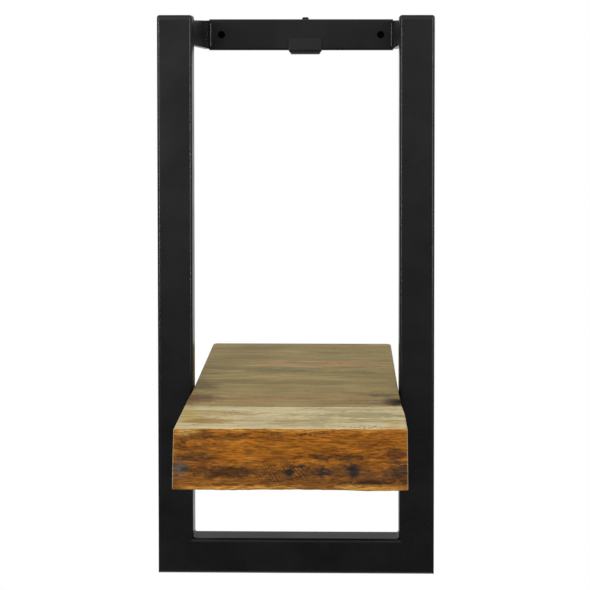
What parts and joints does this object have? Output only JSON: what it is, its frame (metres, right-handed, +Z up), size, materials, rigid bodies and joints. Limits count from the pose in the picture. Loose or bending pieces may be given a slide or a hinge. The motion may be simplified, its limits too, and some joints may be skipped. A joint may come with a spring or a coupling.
{
  "type": "entryway wall shelf",
  "caption": "Wall shelf: thick live-edge slab held low in a slim welded black steel frame, with arms back to a wall rail that is screwed to the wall and sits in a hook.",
  "frame": {"origin": "midway between the two wall screw holes, on the rear face of the wall rail", "axes": "+X to the right seen from the room, +Y into the wall, +Z up"},
  "size_m": [0.3, 0.2611, 0.6101],
  "materials": {
    "black_steel": "smooth black powder coat, satin gloss",
    "hook_steel": "black powder coat, slightly duller",
    "black_screw": "black oxide",
    "cap_plastic": "moulded black polyethylene",
    "sapwood": "pale sapwood with a brown live edge, oiled",
    "heartwood": "olive brown heartwood, oiled",
    "rear_heartwood": "streaked heartwood, oiled",
    "zinc_screw": "zinc plated"
  },
  "bodies": {
    "root": {"left_upright": "black_steel", "right_upright": "black_steel", "bottom_rail": "black_steel", "left_arm": "black_steel", "right_arm": "black_steel", "wall_rail": "black_steel", "left_end_cap": "cap_plastic", "right_end_cap": "cap_plastic", "support_plate": "black_steel", "slab_front_stave": "sapwood", "slab_middle_stave": "heartwood", "slab_rear_stave": "rear_heartwood", "slab_screws": "zinc_screw", "wall_hook": "hook_steel", "lock_screw": "black_screw", "frame_welds": "black_steel"}
  },
  "joints": []
}
